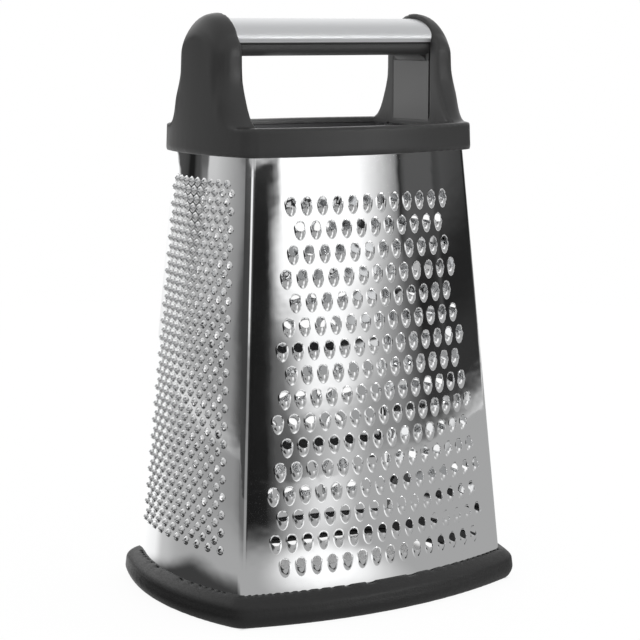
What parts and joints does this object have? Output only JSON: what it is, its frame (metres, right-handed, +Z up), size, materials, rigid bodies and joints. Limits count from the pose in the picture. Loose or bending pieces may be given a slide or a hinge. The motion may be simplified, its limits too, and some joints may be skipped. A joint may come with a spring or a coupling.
{
  "type": "box grater",
  "caption": "Four-sided box grater with bowed steel grating panels, a soft-grip base ring, and an open collar with two pillars that carry a bar handle.",
  "frame": {"origin": "on the ground, under the middle of the base ring", "axes": "+Z up through the handle, -Y out of the medium shredding panel, X along the handle bar"},
  "size_m": [0.1612, 0.1248, 0.2442],
  "materials": {
    "steel": "polished sheet",
    "satin_steel": "satin",
    "soft_touch": "soft-touch, matt",
    "grip": "matt, fine grain",
    "black_plastic": "matt",
    "screw_steel": "plain"
  },
  "bodies": {
    "root": {"front_panel": "steel", "left_panel": "steel", "back_panel": "steel", "right_panel": "steel", "base_grip": "grip", "base_frame": "black_plastic", "top_shell": "soft_touch", "collar_frame": "black_plastic", "collar_screws": "screw_steel", "handle_core": "soft_touch", "handle_cover": "satin_steel", "left_pillar_cover": "soft_touch", "right_pillar_cover": "soft_touch", "handle_screws": "screw_steel"}
  },
  "joints": []
}
